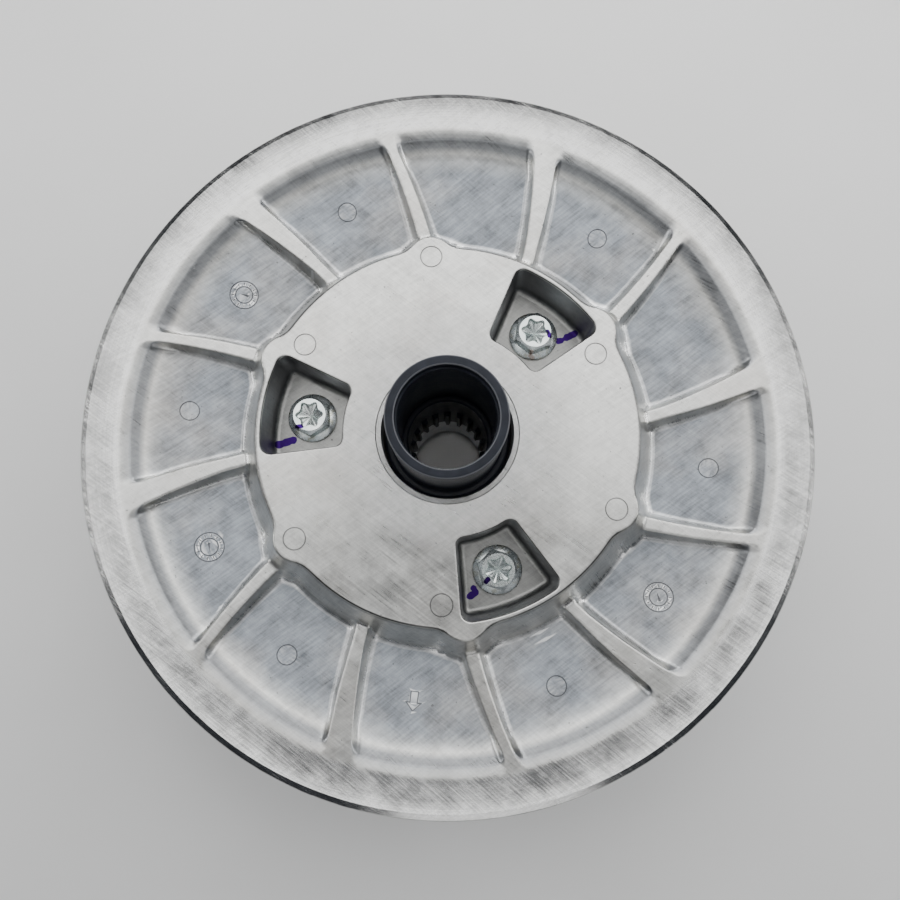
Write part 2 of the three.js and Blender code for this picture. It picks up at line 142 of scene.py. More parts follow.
def polar_points(radius, degrees, z):
    angle = np.radians(degrees)
    return np.stack([radius * np.cos(angle), radius * np.sin(angle), z], axis=-1)


def arc(centre_r, centre_z, radius, start, end, steps=4):
    """Profile points on a round edge, angles in degrees from +R towards +Z."""
    return [
        (centre_r + radius * math.cos(math.radians(a)), centre_z + radius * math.sin(math.radians(a)))
        for a in np.linspace(start, end, steps + 1)
    ]


def loft(rings):
    """A closed solid through rings of points, each anticlockwise seen from the last one."""
    count = len(rings[0])
    faces = grid_faces(len(rings), count, close_rows=False).tolist()
    faces.append(list(range(count))[::-1])
    faces.append([(len(rings) - 1) * count + j for j in range(count)])
    return np.concatenate(rings), faces


def closed_band(rings):
    """Vertices and faces of a ring-shaped solid whose rings of points close on themselves."""
    return np.concatenate(rings), grid_faces(len(rings), len(rings[0])).tolist()


def turned(name, profile, columns=192, smooth_angle=35, place=None, solid=False):
    """A piece turned about Z from (radius, z) rows, anticlockwise with R right and Z up.

    A row's radius or z may change round the piece. A solid piece is capped, any other is a closed ring.
    """
    angles = np.arange(columns) * 360 / columns
    rows = [
        polar_points(np.broadcast_to(r, columns), angles, np.broadcast_to(z, columns)) for r, z in profile
    ]
    vertices, faces = loft(rows) if solid else closed_band(rows)
    if place:
        vertices = place(vertices)
    return new_object(name, vertices, faces, smooth_angle)


# ---- rounded solids as distance fields, negative inside ----
def round_union(a, b, radius):
    inner = np.hypot(np.maximum(radius - a, 0), np.maximum(radius - b, 0))
    return np.maximum(radius, np.minimum(a, b)) - inner


def round_cut(a, b, radius):
    outer = np.hypot(np.maximum(radius + a, 0), np.maximum(radius + b, 0))
    return np.minimum(-radius, np.maximum(a, b)) + outer


def ramp(value, start, end):
    t = np.clip((value - start) / (end - start), 0, 1)
    return t * t * (3 - 2 * t)


def rib_centre(radius):
    return RIB_ANGLE - RIB_SWIRL * (RING_INNER - np.clip(radius, 62, 118))


def rib_half_width(radius, index):
    """Ribs alternate: even ones widen towards the ring, odd ones end in a bump of the plate."""
    wide = 2.2 + 0.065 * np.clip(radius - 80, 0, None)
    narrow = 1.9 + 0.015 * np.clip(110 - radius, 0, 40)
    return np.where(index % 2 == 0, wide, narrow)


def fixed_face_z(radius):
    return RIM_FACE_Z - FACE_SLOPE * (RIM_RADIUS - radius)


def web_top_z(radius):
    """Tops of the ribs, then the turned ring outside them."""
    ring_inner_z = RIM_TOP_Z - RING_SLOPE * (RIM_RADIUS - RING_INNER)
    step = radius - RING_INNER
    return ring_inner_z + np.where(step > 0, RING_SLOPE * step, RIB_TOP_SLOPE * step)


def plate_outline(radius, degrees):
    """Distance to the plate's outline: a circle with a rounded point at every second rib."""
    off = np.radians((degrees - BUMP_ANGLE + 30) % 60 - 30)
    across = radius * np.sin(off)
    along = radius * np.cos(off) - BUMP_CENTRE
    return round_union(radius - PLATE_RADIUS, np.hypot(across, along) - BUMP_ROUND, BUMP_FILLET)


def sheave_field(radius, degrees, z):
    floor_z = fixed_face_z(radius) + FLOOR_THICKNESS
    floor = (z - floor_z) * math.cos(math.radians(FACE_DEGREES))
    # a cell's outer wall: a shallow facet, then a steeper one up to the turned ring
    facet_z = fixed_face_z(FACET_RADIUS) + FLOOR_THICKNESS + FACET_SLOPE * (radius - FACET_RADIUS)
    facet = (z - facet_z) * math.cos(math.atan(FACET_SLOPE))
    steep_start = facet_z + FACET_SLOPE * (STEEP_RADIUS - radius)
    steep = (z - steep_start - STEEP_SLOPE * (radius - STEEP_RADIUS)) * math.cos(math.atan(STEEP_SLOPE))
    ground = round_union(floor, facet, 1.2)
    # ribs
    top = z - web_top_z(radius)
    from_first = degrees - rib_centre(radius)
    index = np.round(from_first / 30).astype(int)
    lateral = np.abs(from_first - index * 30) * np.pi / 180 * radius * 0.97
    rib_side = lateral - rib_half_width(radius, index) + top * math.tan(RIB_DRAFT)
    web_side = round_union(rib_side, steep, WALL_FILLET)
    web = round_cut(web_side, top, 0.7 + 0.9 * ramp(radius, 112, 115))
    # plate
    plate_side = plate_outline(radius, degrees) + (z - PLATE_Z) * math.tan(PLATE_DRAFT)
    plate = round_cut(plate_side * math.cos(PLATE_DRAFT), z - PLATE_Z, 0.9)
    return round_union(round_union(ground, web, RIB_FILLET), plate, PLATE_FILLET)


def halving(inside, low, high, steps):
    """Where a condition stops holding between low and high, found by halving."""
    for _ in range(steps):
        middle = (low + high) / 2
        holds = inside(middle)
        low, high = np.where(holds, middle, low), np.where(holds, high, middle)
    return (low + high) / 2


def height(field, radius, degrees, low, high):
    """The height where the field changes sign."""
    ends = np.full(radius.shape, float(low)), np.full(radius.shape, float(high))
    return halving(lambda z: field(radius, degrees, z) < 0, *ends, 22)


def rib_columns(radius, centre=rib_centre, half_width=rib_half_width):
    """Angles round one row, close together along both sides of each rib."""
    steps = np.concatenate([
        [0, 0.35, 0.65, 0.9, 1.15, 1.4, 1.7], np.arange(2.0, 4.0, 0.28), [4.4, 5.2, 6.6, 8.2],
    ])
    angles = []
    for index in range(12):
        ends = []
        for side in (index, index + 1):
            half = half_width(np.array(radius), np.array(side)) - 1.0
            offsets = np.concatenate([[0, half * 0.5], half + steps])
            ends.append(np.degrees(offsets / radius))
        start = centre(radius) + index * 30
        middle = np.linspace(start + ends[0][-1], start + 30 - ends[1][-1], 9)[1:-1]
        angles += [start + ends[0], middle, start + 30 - ends[1][:0:-1]]
    return np.concatenate(angles)


def casting(name, columns_at, first, radii, surface, rest, turn_over=False):
    """A ring-shaped piece: plain rows of (radius, z), rows on a ribbed surface, then plain rows again."""
    angles = np.stack([columns_at(r) for r in radii])
    count = angles.shape[1]
    grid = np.repeat(radii[:, None], count, axis=1)
    rows = [polar_points(*row) for row in zip(grid, angles, surface(grid, angles))]

    def plain(points):
        return [polar_points(r, columns_at(r), np.full(count, z)) for r, z in points]

    vertices, faces = closed_band(plain(first) + rows + plain(rest))
    if turn_over:
        faces = [face[::-1] for face in faces]
    return new_object(name, vertices, faces)


def fixed_sheave_body():
    """The casting before its pockets are cut: a polar grid whose top follows the height field."""
    bore = [
        (SHEAVE_BORE, PLATE_Z - 0.9), (SHEAVE_BORE + 0.4, PLATE_Z - 0.42), (24.8, PLATE_Z - 0.26),
        (25.1, PLATE_Z),
    ]
    radii = np.concatenate([
        [26, 30, 38, 46, 54, 59, 62, 64],
        np.arange(65.2, 72, 0.3),
        np.arange(72, 76, 0.5),
        np.arange(76, 82.5, 0.3),
        np.arange(83, 103.5, 1.3),
        np.arange(104, 107.5, 0.35),
        np.arange(107.8, 110, 0.6),
        np.arange(110.1, 118.5, 0.33),
        [119.5, 122, 125, 127.5],
    ])
    edge_z = RIM_TOP_Z - RING_SLOPE * 0.4
    rim = [(RIM_RADIUS - 0.42, edge_z), (RIM_RADIUS - 0.4, edge_z - 0.01)]
    rim += [(RIM_RADIUS - 0.01, edge_z - 0.38), (RIM_RADIUS, edge_z - 0.42)]
    rim += arc(RIM_RADIUS - 0.5, RIM_FACE_Z + 0.5, 0.5, 0, -77)
    face = [(r, fixed_face_z(r)) for r in (128, 115, 100, 85, 72, 62)]
    seat_z = PLATE_Z - 24
    seat = [(60.9, fixed_face_z(60.9)), (60.3, fixed_face_z(60.9) + 0.5)]
    seat += [(60.3, seat_z), (SHEAVE_BORE, seat_z)]

    def columns_at(radius):
        return rib_columns(max(radius, 62.0))

    def surface(radius, degrees):
        return height(sheave_field, radius, degrees, 62, PLATE_Z + 1)

    return casting("fixed_sheave_casting", columns_at, bore, radii, surface, rim + face + seat, True)


# ---- solids that are joined, cut or swept ----
def gathered(shapes):
    vertices, faces, start = [], [], 0
    for points, polygons in shapes:
        vertices.append(points)
        faces += [[start + index for index in polygon] for polygon in polygons]
        start += len(points)
    return np.concatenate(vertices), faces


def applied(piece):
    """Put the result of a piece's modifiers into its mesh."""
    evaluated = piece.evaluated_get(bpy.context.evaluated_depsgraph_get())
    mesh = bpy.data.meshes.new_from_object(evaluated)
    piece.modifiers.clear()
    piece.data = mesh
    return piece


def shaded_again(piece, smooth_angle):
    """Smooth up to an angle, with normals weighted by the faces' areas."""
    piece.data.shade_smooth()
    piece.data.set_sharp_from_angle(angle=math.radians(smooth_angle))
    piece.modifiers.new("normals", "WEIGHTED_NORMAL").keep_sharp = True
    return piece


def combine(piece, shapes, operation="DIFFERENCE", smooth_angle=30):
    """Cut shapes out of a piece, or join them to it, then even out its shading."""
    tool = new_object("tool", *gathered(shapes))
    boolean = piece.modifiers.new("boolean", "BOOLEAN")
    boolean.operation = operation
    boolean.solver = "EXACT"
    boolean.object = tool
    applied(piece)
    bpy.data.objects.remove(tool)
    return shaded_again(piece, smooth_angle)


def flat_ring(outline, z):
    return np.column_stack([outline, np.full(len(outline), z)])


def prism(outline, low, high):
    return loft([flat_ring(outline, z) for z in (low, high)])


def bevelled_prism(name, outline, low, high, width, place=None, holes=()):
    """An extruded outline with every sharp edge bevelled."""
    piece = new_object(name, *prism(outline, low, high))
    if holes:
        combine(piece, holes)
        piece.modifiers.clear()
    bevel = piece.modifiers.new("bevel", "BEVEL")
    bevel.width = width * MM
    bevel.segments = 2
    bevel.angle_limit = math.radians(50)
    shaded_again(applied(piece), 35)
    return moved(piece, place) if place else piece


def moved(piece, place):
    """Send every point of a piece, in millimetres, through a function."""
    points = np.empty(len(piece.data.vertices) * 3)
    piece.data.vertices.foreach_get("co", points)
    points = place(points.reshape(-1, 3) / MM) * MM
    piece.data.vertices.foreach_set("co", points.ravel())
    piece.data.update()
    return piece


def turn_z(points, degrees):
    cosine, sine = math.cos(math.radians(degrees)), math.sin(math.radians(degrees))
    x, y, z = points.T
    return np.column_stack([x * cosine - y * sine, x * sine + y * cosine, z])


def full_turn(columns):
    """Evenly spaced angles, in radians."""
    return np.arange(columns) * 2 * np.pi / columns


def circle(radius, columns=32):
    angle = full_turn(columns)
    return np.column_stack([radius * np.cos(angle), radius * np.sin(angle)])


def hexagon(half_width, angle):
    """Radius of a hexagon at each angle."""
    return half_width / np.cos((angle + np.pi / 6) % (np.pi / 3) - np.pi / 6)


def rectangle(left, right, low, high):
    return [(left, low), (right, low), (right, high), (left, high)]


def cylinder(radius, low, high, columns=32):
    return prism(circle(radius, columns), low, high)


# ---- what is cut into the fixed sheave ----
MARK_DEPTH = 0.35


def pocket_outline(offset, count=160):
    """A pocket's outline grown by an offset: an annular sector with rounded corners, round the +X axis."""
    half = math.radians(POCKET_HALF_ANGLE)
    angle = full_turn(count)

    def outline(reach):
        return BOLT_CIRCLE + reach * np.cos(angle), reach * np.sin(angle)

    def inside(reach):
        x, y = outline(reach)
        radius = np.hypot(x, y)
        side = np.abs(y) * math.cos(half) - x * math.sin(half)
        sector = round_cut(round_cut(side, radius - POCKET_OUTER, 3.6), POCKET_INNER - radius, 2.8)
        return sector < offset

    return np.column_stack(outline(halving(inside, np.zeros(count), np.full(count, 30.0), 30)))


def pocket():
    """A drafted pocket with a fillet at its floor and a round brim."""
    draft, fillet, brim = math.tan(math.radians(3)), 2.2, 0.7
    floor_round = arc(-fillet, BOLT_SEAT_Z + fillet, fillet, -90, 0, 6)
    levels = [(offset + draft * (z - PLATE_Z), z) for offset, z in floor_round]
    levels += arc(brim, PLATE_Z - brim, brim, 180, 90) + [(brim, PLATE_Z + 2)]
    return loft([flat_ring(pocket_outline(offset), z) for offset, z in levels])


def groove(outer, inner):
    """A narrow channel between two outlines with the same number of points."""
    corners = [(inner, -MARK_DEPTH), (outer, -MARK_DEPTH), (outer, 1.0), (inner, 1.0)]
    return closed_band([flat_ring(outline, z) for outline, z in corners])


def ring_mark(radius, half_width=0.22, columns=48):
    return groove(circle(radius + half_width, columns), circle(radius - half_width, columns))


def on_surface(shape, radius, degrees, z, slope=0.0, spin=0.0):
    """Lay a shape on the sheave: its X outward, its Z along the surface's normal."""
    points, faces = shape
    x, y, normal = turn_z(points, spin).T
    lean = math.radians(slope)
    outward = radius + x * math.cos(lean) - normal * math.sin(lean)
    upward = z + x * math.sin(lean) + normal * math.cos(lean)
    return turn_z(np.column_stack([outward, y, upward]), degrees), faces


def date_clock():
    """Two rings with twelve ticks between them and a short pointer."""
    shapes = [ring_mark(radius, columns=40) for radius in (5.2, 3.1)]
    points, faces = prism(rectangle(3.6, 4.7, -0.18, 0.18), -MARK_DEPTH, 1)
    shapes += [(turn_z(points, index * 30 + 15), faces) for index in range(12)]
    shapes.append(prism([(-1.6, -0.5), (1.8, 0), (-1.6, 0.5)], -MARK_DEPTH, 1))
    return gathered(shapes)


def flow_arrow():
    def outline(tip, barb, wing, shaft, tail):
        half = [(barb, wing), (barb, shaft), (tail, shaft)]
        return [(tip, 0)] + half + [(x, -y) for x, y in half[::-1]]

    return groove(outline(3.6, 0.3, 3.1, 1.5, -3.5), outline(3.0, 0.7, 2.15, 1.1, -3.1))


def sheave_cuts():
    cuts = []
    bolt_hole = on_surface(cylinder(4.4, 60, BOLT_SEAT_Z + 1), BOLT_CIRCLE, 0, 0)
    for angle in (POCKET_ANGLE, POCKET_ANGLE + 120, POCKET_ANGLE + 240):
        cuts += [(turn_z(points, angle), faces) for points, faces in (pocket(), bolt_hole)]
    for radius, angle in ((63.7, 94.5), (59.0, 147.4)):
        cuts += [on_surface(ring_mark(3.8), radius, angle + index * 120, PLATE_Z) for index in range(3)]

    def in_cell(shape, radius, degrees, spin=0.0):
        floor_z = fixed_face_z(radius) + FLOOR_THICKNESS
        return on_surface(shape, radius, degrees, floor_z + 0.02, FACE_DEGREES, spin)

    cuts += [in_cell(ring_mark(3.475, 0.225), 96, 112.9 + index * 60) for index in range(6)]
    for angle, spin in ((143.6, 20), (203.8, 75), (322.2, 140)):
        cuts.append(in_cell(date_clock(), 94.7, angle, spin))
    cuts.append(in_cell(flow_arrow(), 94, 262))
    return cuts


# ---- sliding sheave: ribs on its back ----
WEB_LOW_Z = 52.0
BACK_RIM_RADIUS = 125.0
SLIDING_RIM_Z = 43.0
BACK_RIB_ANGLE = 15.0
BACK_RIB_HALF = 1.9


def back_z(radius):
    outer = np.clip(radius, 59, BACK_RIM_RADIUS) - 59
    return WEB_LOW_Z - (WEB_LOW_Z - SLIDING_BACK_Z) * outer / (BACK_RIM_RADIUS - 59)


def back_rib_z(radius):
    """Lower edge of the back ribs: nearly level, with sloped ends."""
    level = SLIDING_BACK_Z - 2.2 + 0.012 * (119 - radius)
    inner_end = (67 - radius) * 1.7
    outer_end = (radius - 119) * 0.55
    return level + np.maximum(0, inner_end) + np.maximum(0, outer_end)


def back_field(radius, degrees, depth):
    """The back of the sliding sheave, seen from below: depth grows downwards."""
    z = -depth
    floor = (back_z(radius) - z) * math.cos(math.radians(12))
    from_rib = (degrees - BACK_RIB_ANGLE + 15) % 30 - 15
    lateral = np.abs(from_rib) * np.pi / 180 * radius
    top = back_rib_z(radius) - z
    rib = round_cut(lateral - BACK_RIB_HALF + top * math.tan(math.radians(2.5)), top * 0.9, 0.7)
    return round_union(floor, rib, 2.2)


def back_columns(radius):
    return rib_columns(
        float(max(radius, 60)), lambda r: BACK_RIB_ANGLE, lambda r, index: np.full_like(r, BACK_RIB_HALF))


def sliding_sheave_body():
    """The back with its ribs, then the rim, the belt face and the flat on top."""
    bore = 24.9
    boss_z, top_z = sliding_low[2], sliding_high[2]
    boss = [(bore, boss_z + 0.5), (bore + 0.5, boss_z), (29.9, boss_z), (30.6, boss_z + 0.7)]
    boss += arc(32.6, WEB_LOW_Z - 2.0, 2.0, 180, 90, 3)
    radii = np.concatenate([
        [36, 44, 52, 57], np.arange(58.6, 68.5, 0.5), np.arange(70, 117, 2.4), np.arange(117.2, 128, 0.7),
    ])
    flat_radius = RIM_RADIUS - (top_z - SLIDING_RIM_Z) / FACE_SLOPE
    rim = [(RIM_RADIUS - 0.6, SLIDING_BACK_Z)] + arc(RIM_RADIUS - 0.5, SLIDING_BACK_Z + 0.5, 0.5, -60, 0)
    rim += arc(RIM_RADIUS - 0.5, SLIDING_RIM_Z - 0.45, 0.5, 0, 77)
    face_radii = (128, 115, 100, 85, 70, flat_radius + 0.8)
    face = [(r, SLIDING_RIM_Z + FACE_SLOPE * (RIM_RADIUS - r)) for r in face_radii]
    top = [(flat_radius - 0.8, top_z), (40, top_z), (bore + 0.7, top_z), (bore, top_z - 0.7)]

    def surface(radius, degrees):
        return -height(back_field, radius, degrees, -60, -30)

    return casting("sliding_sheave_casting", back_columns, boss, radii, surface, rim + face + top)


# ---- hub ----
SPLINE_TEETH = 18
SPLINE_ROOT, SPLINE_TIP = 14.5, 12.9


def spline_radius(columns):
    """Radius of the splined bore round its columns: tooth tips, flanks and spaces."""
    phase = (np.arange(columns) * SPLINE_TEETH / columns + 0.5) % 1 - 0.5
    tip_share = np.clip((np.abs(phase) - 0.27) / 0.09, 0, 1)
    return SPLINE_ROOT - (SPLINE_ROOT - SPLINE_TIP) * tip_share


def hub_body():
    columns = SPLINE_TEETH * 16
    teeth = spline_radius(columns)
    top = HUB_TOP_Z
    outside = [
        (20.2, 0), (21, 0.8), (21, 1), (19.8, 1.05), (19.8, 2.55), (21, 2.6), (21, 62.4), (21.6, 63),
        (59.4, 63), (60, 63.6), (60, 68.4), (59.4, 69), (22.4, 69), (22.4, 83), (21.5, 84), (20.3, 84),
        (19.5, 84.8), (19.5, top - 2.2), (19.35, top - 2.1), (19.35, top - 1.9), (19.5, top - 1.8),
    ]
    outside += arc(18.7, top - 0.8, 0.8, 0, 90, 3)
    inside = [
        (16.75, top), (16.4, top - 0.35), (16.4, top - 4.2), (15.9, top - 4.7), (15.9, 87), (16.9, 86),
        (16.9, 74.6), (16.3, 74), (15.3, 74), (14.6, 73.3), (14.6, 53.4),
    ]
    spline = [(14.56, 53), (teeth, 52), (teeth, 31.6), (14.56, 31)]
    return turned("splined_hub", outside + inside + spline + [(17.4, 31), (17.4, 0.6), (18, 0)], columns)


# ---- flanged bolts ----
def bolt(index):
    """Head up: a flange, a hexagon with a coned top and a six-lobed recess with a star-shaped point."""
    columns = 144
    angle = full_turn(columns)
    flats = hexagon(6.5, angle)
    star = 4.08 + 0.66 * np.cos(6 * angle) + 0.06 * np.cos(12 * angle)
    crown = 6.2
    profile = [
        (3.2, -10.6), (3.8, -10), (3.8, -0.1), (8.5, 0), (8.95, 0.4), (8.95, 1.0), (8.75, 1.3), (8.4, 1.5),
        (flats + 0.15, 1.95), (flats, 2.15), (flats, 7.6 - (flats - crown) * 0.6), (crown, 7.6),
        (crown - 0.35, 7.8), (star * 0.96 + 0.5, 7.8), (star, 7.45), (star * 0.96, 6.0), (star * 0.5, 5.2),
        (0.05, 4.2),
    ]
    turn_by = POCKET_ANGLE + index * 120

    def place(points):
        return turn_z(turn_z(points, 12 * index) + (BOLT_CIRCLE, 0, BOLT_SEAT_Z), turn_by)

    return turned(f"flange_bolt_{index + 1}", profile, columns, 20, place, solid=True)


# ---- cam, spring and rollers ----
HELIX_RISE = 35.9  # for each radian of turn
roller_low, roller_high = box_mm("roller_1")
ROLLER_Z = (roller_low[2] + roller_high[2]) / 2
ROLLER_RADIUS = 8.0
ROLLER_INNER, ROLLER_OUTER = roller_low[1], roller_high[1]
ROLLER_MID = (ROLLER_INNER + ROLLER_OUTER) / 2
HELIX_ANGLE = math.atan(HELIX_RISE / ROLLER_MID)
ROLLER_OFFSET = ROLLER_RADIUS + 0.5
FIRST_ROLLER = 90.0
CONTACT_Z = ROLLER_Z - ROLLER_OFFSET * math.cos(HELIX_ANGLE)
RAMP_TOP_Z = box_mm("helix_cam")[1][2]
RAMP_START = FIRST_ROLLER - math.degrees(
    ROLLER_OFFSET * math.sin(HELIX_ANGLE) / ROLLER_MID + (RAMP_TOP_Z - CONTACT_Z) / HELIX_RISE)
PIN_RADIUS = 3.0
bracket_low, bracket_high = box_mm("roller_bracket_1")
BRACKET_INNER, BRACKET_OUTER = bracket_low[1], bracket_high[1]


def swept_section(sections):
    """A solid through cross-sections of (radius, z) points at given angles."""
    rings = []
    for degrees, outline in sections:
        r, z = np.array(outline).T
        rings.append(polar_points(r, degrees, z)[::-1])
    return loft(rings)


def cam_ramp(start):
    inner, outer, base, edge = 38.6, 47.0, 4.0, 0.5
    fall_degrees = math.degrees((RAMP_TOP_Z - 5) / HELIX_RISE)
    angles = np.concatenate([[-18, -17, -9], np.linspace(0, fall_degrees, 40)])
    sections = []
    for angle in angles:
        top = RAMP_TOP_Z - HELIX_RISE * math.radians(max(0, angle))
        outline = [
            (inner, base), (outer, base), (outer, top - edge), (outer - edge, top), (inner + edge, top),
            (inner, top - edge),
        ]
        sections.append((start + angle, outline))
    return swept_section(sections)


def cam_body():
    disc_z, boss, boss_z = 6.0, 29.0, 12.0
    profile = [
        (27, 0.5), (27.5, 0), (CAM_RADIUS - 0.7, 0), (CAM_RADIUS, 0.7), (CAM_RADIUS, disc_z - 0.6),
        (CAM_RADIUS - 0.6, disc_z), (boss + 1.2, disc_z), (boss, disc_z + 1.2), (boss, boss_z - 0.6),
        (boss - 0.6, boss_z), (21.9, boss_z), (21.3, boss_z - 0.6), (21.3, 3), (27, 3),
    ]
    cam = turned("cam_plate", profile, 180)
    ramps = [cam_ramp(RAMP_START + index * 120) for index in range(3)]
    return combine(cam, ramps, "UNION")


def spring_body():
    """The coil, a little closer wound at its ends, and the heights between which it stands."""
    foot_z = box_mm("lower_spring_seat")[1][2]
    low, high = box_mm("closing_spring")
    wire, turns, coil_radius = 2.0, 4.25, 34.0
    t = np.linspace(0, 1, 340)
    bottom, top = low[2] + wire, high[2] - wire
    z = bottom + (top - bottom) * (0.65 * t + 0.35 * ramp(t, 0, 1))
    section = circle(wire * 0.98, 20)
    sections = [(360 * turns * t[i], section + (coil_radius, z[i])) for i in range(len(t))]
    return new_object("closing_spring_coil", *swept_section(sections)), foot_z, high[2]


def laid_radially(degrees):
    """A piece turned about Z goes to the roller's height with its Z pointing outward."""
    def place(points):
        x, y, z = points.T
        return turn_z(np.column_stack([z, y, ROLLER_Z - x]), degrees)
    return place


def with_mirror(half, low, high):
    """A profile's lower half with its mirror image above it."""
    return half + [(r, low + high - z) for r, z in half[::-1]]


def chamfered_ring(name, inner, outer, low, high, chamfer, columns=144, place=None):
    half = [(inner, low + chamfer), (inner + chamfer, low), (outer - chamfer, low), (outer, low + chamfer)]
    return turned(name, with_mirror(half, low, high), columns, 35, place)


def roller_body(index, place):
    bore, inner = 4.55, ROLLER_INNER
    half = [
        (bore, inner + 0.3), (bore + 0.3, inner), (5.4, inner), (5.6, inner + 0.5), (6.6, inner + 0.5),
        (6.8, inner),
    ]
    half += arc(ROLLER_RADIUS - 0.6, inner + 0.6, 0.6, -90, 0)
    profile = with_mirror(half, inner, ROLLER_OUTER)
    return turned(f"cam_roller_{index + 1}", profile, 96, 35, place)


def pin_body(index, place):
    """Head inside the roller, a clip groove outside the bracket."""
    head, face, groove_radius = ROLLER_INNER - 0.3, BRACKET_OUTER, PIN_RADIUS - 0.7
    profile = [
        (4.2, head - 1.2), (4.6, head - 0.8), (4.6, head - 0.2), (4.4, head), (PIN_RADIUS, head),
        (PIN_RADIUS, face + 0.3), (groove_radius, face + 0.35), (groove_radius, face + 1.25),
        (PIN_RADIUS, face + 1.3), (PIN_RADIUS, face + 1.8), (PIN_RADIUS - 0.4, face + 2.2),
    ]
    return turned(f"roller_shaft_{index + 1}", profile, 64, 35, place, solid=True)


def clip_body(index, place):
    low, high = BRACKET_OUTER + 0.4, BRACKET_OUTER + 1.2
    sections = []
    for angle in np.linspace(28, 332, 60):
        waist = 0.35 * math.cos(math.radians(3 * angle))
        inner, outer = PIN_RADIUS - 0.35 + max(0, waist), PIN_RADIUS + 1.95 - max(0, -waist)
        sections.append((angle, rectangle(inner, outer, low, high)))
    return moved(new_object(f"retaining_clip_{index + 1}", *swept_section(sections)), place)


def bracket_body(index, degrees):
    """A hanger: two screwed ears with a rounded tower between them that holds the pin."""
    top, ear = bracket_high[2], 3.0
    half_tower, half_ears, fillet = 8.0, bracket_high[0], 2.4
    corner = arc(half_tower + fillet, top - ear - fillet, fillet, 180, 90)
    foot = arc(half_tower - 3, bracket_low[2] + 3, 3, -90, 0, 3)
    right = foot + corner + [(half_ears, top - ear), (half_ears, top)]
    outline = right + [(-y, z) for y, z in right[::-1]]
    hole = cylinder(PIN_RADIUS + 0.1, BRACKET_INNER - 1, BRACKET_OUTER + 1, 40)
    hole = (hole[0] + (0, ROLLER_Z, 0), hole[1])

    def place(points):
        y, z, x = points.T
        return turn_z(np.column_stack([x, y, z]), degrees)

    name = f"roller_hanger_{index + 1}"
    return bevelled_prism(name, outline, BRACKET_INNER, BRACKET_OUTER, 0.45, place, [hole])


def hanger_screw(index, degrees, side):
    columns = 72
    socket = hexagon(1.5, full_turn(columns))
    seat = bracket_high[2] - 3.0
    profile = [
        (0.05, seat - 1.5), (socket * 0.97, seat - 1.7), (socket, seat - 3.1), (socket + 0.25, seat - 3.4),
        (3.1, seat - 3.4), (3.5, seat - 3.0), (3.5, seat), (1.9, seat), (1.9, WEB_LOW_Z + 5),
        (1.5, WEB_LOW_Z + 5.4),
    ]
    middle = (BRACKET_INNER + BRACKET_OUTER) / 2

    def place(points):
        return turn_z(points + (middle, side * 13, 0), degrees)

    return turned(f"hanger_screw_{index + 1}", profile, columns, 30, place, solid=True)


def snap_ring_body():
    low, high = box_mm("cam_snap_ring")
    sections = []
    for angle in np.linspace(191, 529, 150):
        ends = min(angle - 191, 529 - angle)
        lug = 0.9 * max(0, 1 - ends / 9)
        sections.append((angle, rectangle(20.0, 23.0 + lug, low[2], high[2])))
    return new_object("snap_ring", *swept_section(sections))


def key_body():
    low, high = box_mm("cam_key")
    outline = rectangle(low[0], high[0], -high[1], high[1])
    return bevelled_prism("hub_key", outline, low[2], high[2], 0.35)


# ---- materials ----
def rgb(red, green, blue):
    return (red, green, blue, 1.0)


PAINT = rgb(0.040, 0.008, 0.13)


